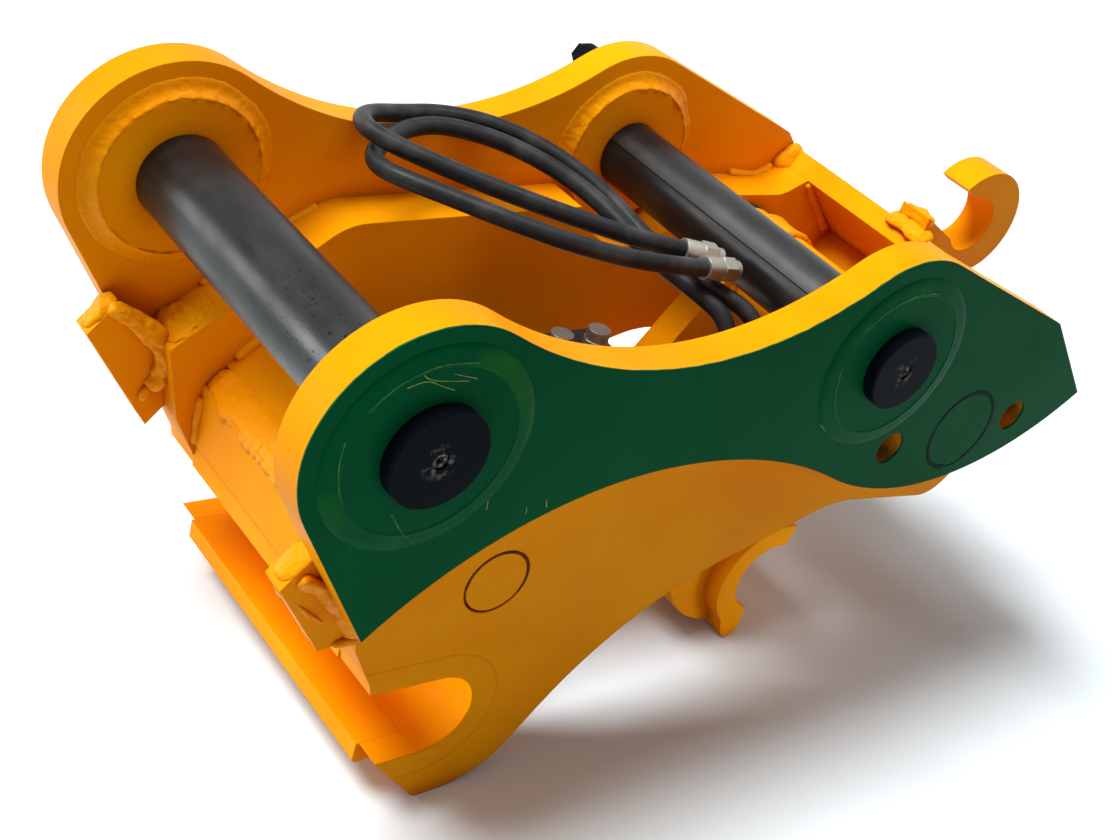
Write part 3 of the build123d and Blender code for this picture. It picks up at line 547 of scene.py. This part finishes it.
def circle(x, y, z, r, start=0.0, sweep=360.0, count=48):
    """Points round an axis along Y, in metres."""
    result = []
    for i in range(count + 1):
        angle = radians(start + sweep * i / count)
        result.append((x + r * cos(angle), y, z + r * sin(angle)))
    if sweep == 360.0:
        result[-1] = result[0]
    return result


def mm(*points):
    """Points given in millimetres, in metres."""
    return [tuple(c / 1000 for c in p) for p in points]


# Ring sections, in millimetres: distance out from the boss's edge, height over the plate
outer_ring = mm((-2.2, 1.8), (-1.3, 3.25), (0.4, 3.45), (2.0, 3.0), (5.0, 2.75), (8.5, 2.45),
                (11.5, 2.0), (14.0, 1.2), (15.6, 0.3), (16.0, -0.8), (-2.2, -0.8))
far_ring = mm((-1.6, 1.6), (-0.8, 3.2), (0.8, 3.1), (3.0, 2.2), (5.4, 1.1), (7.0, -0.6),
              (-1.6, -0.6))
inner_ring = mm((-1.4, 7.0), (-0.6, 10.2), (1.0, 10.4), (2.4, 9.0), (4.4, 6.2), (6.6, 4.0),
                (9.0, 2.6), (11.4, 2.0), (13.4, 1.5), (15.0, 0.4), (15.4, -0.8), (-1.4, -0.8))

# The wide band's section, in millimetres: distance across from its middle, height
band_section = mm((-18.5, -6.0), (-18.0, -3.6), (-15.0, 0.2), (-11.5, 2.2), (-7.5, 3.0),
                  (-3.5, 3.1), (0.5, 2.8), (4.5, 3.0), (8.5, 2.8), (12.5, 2.2), (16.0, 1.2),
                  (18.5, -0.6), (19.0, -2.0))


def make_boss_beads(finishes):
    """Rings round the pin bosses: broad and smooth outside, rough fillets inside."""
    near = Welds()
    rest = Welds()
    for x in (0.0, link_x):
        near.ring(x, -side_y, -1, outer_ring, 0.05, 40.0)
        rest.ring(x, side_y, 1, far_ring, 0.12, 120.0)
        rest.ring(x, -inner_y, 1, inner_ring, 0.16, 120.0)
        rest.ring(x, inner_y, -1, inner_ring, 0.20, 120.0)
    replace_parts(near.piece("near_boss_beads", finishes["green_bead"]), "boss_weld_rings")
    rest.piece("boss_beads", finishes["weld"])


def make_front_welds(finishes):
    """The wide band on the front cross member, and the beads at the stop plates and seams."""
    band = Welds()
    middle = mm(*((37.2, y, -178) for y in range(seam_y, -seam_y - 1, -2)))
    band.run(middle, (-0.73, 0, 0.68), band_section, 0.42, 165.0)
    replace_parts(band.piece("front_band_weld", finishes["weld"]), "front_weld_bead")

    welds = Welds()
    # Far stop plate: a heavy bead down its inner corner that ends in a drop
    welds.bead(mm((-56, 164, -112), (-44, 163, -119), (-30, 162, -129), (-16, 160, -141),
                  (-8, 159, -153), (-4, 158, -166), (-3, 159, -180), (-6, 161, -191),
                  (-13, 163, -199)), (-0.7, -0.7, 0), 0.0100, 0.0085, lumps=0.45, grain=130.0,
               sides=24)
    welds.bead(mm((-13, 162, -198), (-17, 162, -206), (-18, 163, -211)), (-0.3, -1, 0), 0.0052,
               0.0060, lumps=0.3)
    welds.bead(mm((-72, 177, -135), (-64, 177, -126), (-56, 177, -117), (-48, 177, -108)),
               (-0.75, 0, 0.66), 0.0115, 0.0050, lumps=0.55, grain=150.0, sides=24)
    # Rough seat beside it on the lower plate's slope
    welds.bead(mm((-8, 164, -145), (6, 164, -135), (20, 164, -125), (34, 164, -115)),
               (-0.58, 0, 0.81), 0.0225, 0.0042, lumps=0.60, grain=150.0, sides=32)
    # Near stop plate: filled up to the side plate's front edge, with a smooth wedge on top
    welds.bead(mm((-70, -176, -133), (-62, -176, -124), (-54, -177, -116), (-46, -178, -110)),
               (-0.75, 0, 0.66), 0.0110, 0.0036, lumps=0.30, grain=70.0, sides=24)
    welds.bead(mm((-69, -176, -144), (-53, -176, -159), (-37, -176, -174), (-21, -176, -189),
                  (-7, -176, -202)), (-0.68, 0, -0.73), 0.0120, 0.0036, lumps=0.50, grain=130.0,
               sides=28)
    welds.bead(mm((-60, -187, -130), (-44, -188, -140), (-32, -188, -152), (-20, -188, -168),
                  (-10, -188, -184), (0, -188, -200)), (-0.75, -0.6, -0.2), 0.0085, 0.0060,
               lumps=0.40, grain=110.0, sides=24)
    welds.bead(mm((-18, -188, -206), (-8, -189, -205), (2, -189, -206)),
               (0, -0.8, -0.6), 0.0048, 0.0040, lumps=0.3)
    for side in (-1, 1):
        # Front cross member to the lower plates, and the sloping plate to them
        seam = side * seam_y
        welds.bead(mm((28, seam, -250), (26, seam, -225), (27, seam, -198)),
                   (-0.7, -0.7 * side, 0), 0.0060, 0.0055, lumps=0.25)
        welds.bead(mm((54, seam, -162), (74, seam, -145), (104, seam, -119)),
                   (-0.45, -0.7 * side, 0.55), 0.0060, 0.0050, lumps=0.25)
        # Lap between the upper and the lower plate at the front
        lap = side * lap_y
        welds.bead(mm((36, lap, -113), (74, lap, -85), (114, lap, -57), (140, lap, -41)),
                   (-0.4, -0.7 * side, 0.6), 0.0050, 0.0042, lumps=0.25)
    welds.piece("front_welds", finishes["weld"])


def make_rear_welds(finishes):
    """Beads at the rear wall's corners and round the lifting hook's foot."""
    welds = Welds()
    lifting = Welds()
    for side in (-1, 1):
        # Rear wall's top corner, and down its inside against the lower plates
        welds.bead(mm((748, side * 181, -9), (738, side * 181, -12), (727, side * 180, -22),
                      (720, side * 181, -32)), (-0.4, -0.7 * side, 0.5), 0.0120, 0.0068,
                   lumps=0.28, grain=120.0, sides=24)
        welds.bead(mm((727, side * 138, -26), (744, side * 138, -46), (762, side * 138, -66),
                      (781, side * 138, -88)), (-0.7, -0.7 * side, 0), 0.0062, 0.0056, lumps=0.28)
        lap = side * lap_y
        welds.bead(mm((650, lap, -34), (674, lap, -38), (694, lap, -39), (716, lap, -30)),
                   (0, -0.6 * side, 0.8), 0.0062, 0.0052, lumps=0.25)
        # Lifting hook's foot
        y = side * 20.5
        lifting.bead(mm((752, y, -15), (764, y, -27), (783, y, -46), (804, y, -66)),
                     (0.7, side, 0.7), 0.0066, 0.0060, lumps=0.3, grain=120.0)
    lifting.bead(mm((744, -30, -9), (744, -14, -6), (744, 4, -4), (744, 18, -6), (744, 29, -9)),
                 (-0.35, 0, 0.94), 0.0125, 0.0055, lumps=0.40, grain=140.0, sides=28)
    lifting.bead(mm((752, -21, 4), (751, -8, 7), (751, 8, 7), (752, 21, 4)), (-0.75, 0, 0.66),
                 0.0090, 0.0048, lumps=0.40, grain=150.0, sides=24)
    welds.piece("rear_welds", finishes["weld"])
    lifting.piece("lifting_hook_welds", finishes["weld"])


def make_hidden_welds(finishes):
    """Beads inside: cylinder lugs on the jaw plate, and the moving hook's own seams."""
    lugs = Welds()
    hook = Welds()
    for side in (-1, 1):
        for y in (32, 57):
            out = 1 if y == 57 else -1
            lugs.bead(mm((66, side * y, -256), (90, side * y, -254), (114, side * y, -257),
                         (140, side * y, -268), (160, side * y, -288)),
                      (0.1, out * side, 0.8), 0.0050, 0.0046, lumps=0.2)
        for y, out in ((68, -1), (103, 1)):
            hook.bead(circle(shaft_x, side * y / 1000, shaft_z, hub_bead_r, start=-70, sweep=330),
                      (0, out * side, 0), 0.0050, 0.0046, lumps=0.2)
    lugs.piece("cylinder_lug_welds", finishes["weld"])
    hook.piece("hook_welds", finishes["weld"], "hook")


def near_face(x, z):
    """Height of the near side over the upper plate: bosses and their rings stand proud."""
    proud = 0.0
    for centre in (0.0, link_x):
        out = ((x - centre) ** 2 + z ** 2) ** 0.5 - boss_r
        if out < 0:
            proud = boss_proud
        elif out < boss_ring_w:
            proud = boss_proud * (1.0 - (out / boss_ring_w) ** 2)
    return proud


def face_lines(name, lines, material, across, height):
    """Thin lines on the near side, given in millimetres along X and Z."""
    marks = Welds()
    for line in lines:
        points, _ = resample(mm(*((x, 0, z) for x, z in line)), 0.002)
        seated = [(q.x, -side_y - near_face(q.x, q.z), q.z) for q in points]
        marks.run(seated, (0, -1, 0), half_round(across, height, 6), lumps=0.3, grain=300.0)
    return marks.piece(name, material)


def make_surface_marks(finishes):
    """Scratches on the green side, thin raised lines in light green as painted highlights along the
    boss rings, and the grooves round the two plugs.
    """
    face_lines("green_side_scratches", [
        [(-34, 59), (-19, 62), (-5, 56), (6, 51)], [(-24, 69), (-13, 62), (17, 57)],
        [(2, 65), (23, 58)], [(51, -60), (55, -67)], [(65, -58), (66, -68)],
        [(105, -74), (106, -81)], [(123, -71), (125, -79)],
        [(418, -54), (447, -76), (476, -82)]], finishes["scratch"], 0.00030, 0.00030)
    # Painted highlights: thin raised lines in light green along the edges of the boss rings
    face_lines("green_side_painted_highlights", [
        [(-23, -48), (-9, -69), (4, -81)], [(-73, 22), (-74, 4), (-69, -22), (-58, -44)],
        [(-60, 44), (-40, 62), (-10, 73), (22, 71)], [(413, 9), (417, -17)],
        [(425, 42), (449, 62), (480, 73), (508, 71)]], finishes["painted_highlight_lines"], 0.00075, 0.00060)

    base = circle(base_pin_x, clear_side, base_pin_z, base_groove_r, start=-35, sweep=215)
    shaft = circle(shaft_x, -side_y, shaft_z, shaft_groove_r, start=-60, sweep=330)
    for name, line, material, across in (("base_plug_groove", base, "crease", 0.0017),
                                         ("shaft_plug_groove", shaft, "green_groove", 0.0024)):
        groove = Welds()
        groove.run(line, (0, -1, 0), half_round(across, 0.0003, 8), lumps=0.3, grain=90.0)
        groove.piece(name, finishes[material])


def make_hoses(finishes):
    """The two hoses as cords on the routes that the part's source gives."""
    for name, route in hose_routes.items():
        curve = bpy.data.curves.new(name + "_line", "CURVE")
        curve.dimensions = "3D"
        curve.bevel_depth = hose_d / 2
        curve.bevel_resolution = 8
        curve.resolution_u = 16
        spline = curve.splines.new("NURBS")
        spline.points.add(len(route) - 1)
        for point, place in zip(spline.points, route):
            point.co = (*(c / 1000 for c in place), 1.0)
        spline.order_u = 3
        spline.use_endpoint_u = True
        curve.materials.append(finishes["hose_rubber"])
        hose = bpy.data.objects.new(name + "_rubber", curve)
        bpy.context.scene.collection.objects.link(hose)
        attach(hose, "frame")
        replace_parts(hose, name)


def seen_directly(tree):
    """1 for rays from the camera, from glossy surfaces and through glass, else 0."""
    rays = tree.nodes.new("ShaderNodeLightPath")
    total = rays.outputs["Is Camera Ray"]
    for name in ("Is Glossy Ray", "Is Transmission Ray"):
        either = tree.nodes.new("ShaderNodeMath")
        either.operation = "MAXIMUM"
        tree.links.new(total, either.inputs[0])
        tree.links.new(rays.outputs[name], either.inputs[1])
        total = either.outputs[0]
    return total


def make_floor():
    """Near white to the camera and in reflections; darker as a source of bounced light."""
    place = (floor_x, 0.0, floor_z - floor_drop)
    bpy.ops.mesh.primitive_plane_add(size=floor_size, location=place)
    floor = bpy.context.object
    floor.name = "floor"
    material = bpy.data.materials.new("floor")
    material.use_nodes = True
    tree = material.node_tree
    shader = tree.nodes["Principled BSDF"]
    shader.inputs["Roughness"].default_value = 0.9
    shader.inputs["Specular IOR Level"].default_value = 0.05
    tone = tree.nodes.new("ShaderNodeMix")
    tone.data_type = "RGBA"
    tree.links.new(seen_directly(tree), tone.inputs["Factor"])
    bounced, seen = [socket for socket in tone.inputs if socket.type == "RGBA"]
    bounced.default_value = (floor_bounce, floor_bounce, floor_bounce, 1.0)
    seen.default_value = floor_seen
    result = [socket for socket in tone.outputs if socket.type == "RGBA"][0]
    tree.links.new(result, shader.inputs["Base Color"])
    floor.data.materials.append(material)


def make_world():
    """White to the camera and in reflections, a plain soft grey as light."""
    world = bpy.data.worlds.new("studio")
    bpy.context.scene.world = world
    world.use_nodes = True
    tree = world.node_tree
    background = tree.nodes["Background"]
    background.inputs["Color"].default_value = (1.0, 1.0, 1.0, 1.0)
    seen = tree.nodes.new("ShaderNodeMapRange")
    seen.inputs["To Min"].default_value = sky_light
    seen.inputs["To Max"].default_value = 1.0
    tree.links.new(seen_directly(tree), seen.inputs["Value"])
    tree.links.new(seen.outputs["Result"], background.inputs["Strength"])


def add_lamp(name, kind, power, from_way):
    """A lamp that shines from the way given."""
    data = bpy.data.lights.new(name, kind)
    data.energy = power
    lamp = bpy.data.objects.new(name, data)
    bpy.context.scene.collection.objects.link(lamp)
    lamp.rotation_euler = (-Vector(from_way)).to_track_quat("-Z", "Y").to_euler()
    return lamp


def add_panel(name, power, place, toward, size, spread):
    """A rectangular lamp at a place, turned toward a point and left out of the picture."""
    lamp = add_lamp(name, "AREA", power, Vector(place) - Vector(toward))
    lamp.data.spread = radians(spread)
    lamp.data.shape = "RECTANGLE"
    lamp.data.size, lamp.data.size_y = size
    lamp.location = place
    lamp.visible_camera = False


def make_lights():
    """A broad high key from the front and the far side, and the panels."""
    key = add_lamp("key", "SUN", key_light, key_from)
    key.data.angle = radians(key_width)
    for panel in light_panels:
        add_panel(*panel)


def make_camera():
    """The photograph's view, with colours shown as they are."""
    data = bpy.data.cameras.new("camera")
    data.lens = camera_lens
    data.shift_x = camera_shift
    camera = bpy.data.objects.new("camera", data)
    bpy.context.scene.collection.objects.link(camera)
    camera.location = camera_place
    camera.rotation_euler = [radians(angle) for angle in camera_turn]
    bpy.context.scene.camera = camera
    bpy.context.scene.view_settings.view_transform = "Standard"


finishes = make_finishes()
make_camera()
make_hoses(finishes)
dress_nodes(finishes)
make_boss_beads(finishes)
make_front_welds(finishes)
make_rear_welds(finishes)
make_hidden_welds(finishes)
make_surface_marks(finishes)
make_floor()
make_world()
make_lights()
